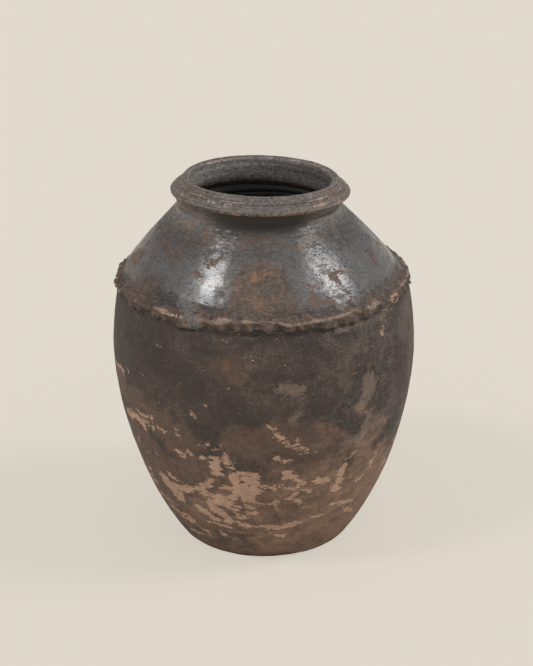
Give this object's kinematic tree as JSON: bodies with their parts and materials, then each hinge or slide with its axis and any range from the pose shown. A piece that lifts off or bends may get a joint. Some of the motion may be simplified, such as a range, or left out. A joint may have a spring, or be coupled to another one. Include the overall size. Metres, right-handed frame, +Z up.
{
  "type": "water jar",
  "caption": "Tall-shouldered terracotta water jar with a flat foot, a round belly, a thumb-crimped strip over its shoulder seam and a rolled rim round a wide open mouth.",
  "frame": {"origin": "on the ground under the middle of the round foot", "axes": "+Z up along the axis of the jar; -Y is the front, the side that the picture shows; the lap of the crimped strip is towards the front left"},
  "size_m": [0.3455, 0.3456, 0.4298],
  "materials": {
    "foot_clay": "bare fired clay, worn matte",
    "inner_clay": "bare fired clay, smoothed by hand, matte",
    "belly_slip": "smoke-blackened slip worn to tan clay in patches, matte",
    "burnished_slip": "burnished grey-black slip, semi-gloss",
    "neck_slip": "brown-black slip, satin",
    "rim_slip": "brown-black slip, wheel-turned, semi-gloss",
    "strip_clay": "dark slip rubbed to tan on the ridges, matte",
    "lap_clay": "grey slip smear, matte"
  },
  "bodies": {
    "root": {"floor_slab": "foot_clay", "floor_fillet": "inner_clay", "belly_wall": "belly_slip", "seam_fillet": "inner_clay", "shoulder": "burnished_slip", "neck_collar": "neck_slip", "rim_roll": "rim_slip", "crimped_strip": "strip_clay", "strip_lap": "lap_clay"}
  },
  "joints": []
}
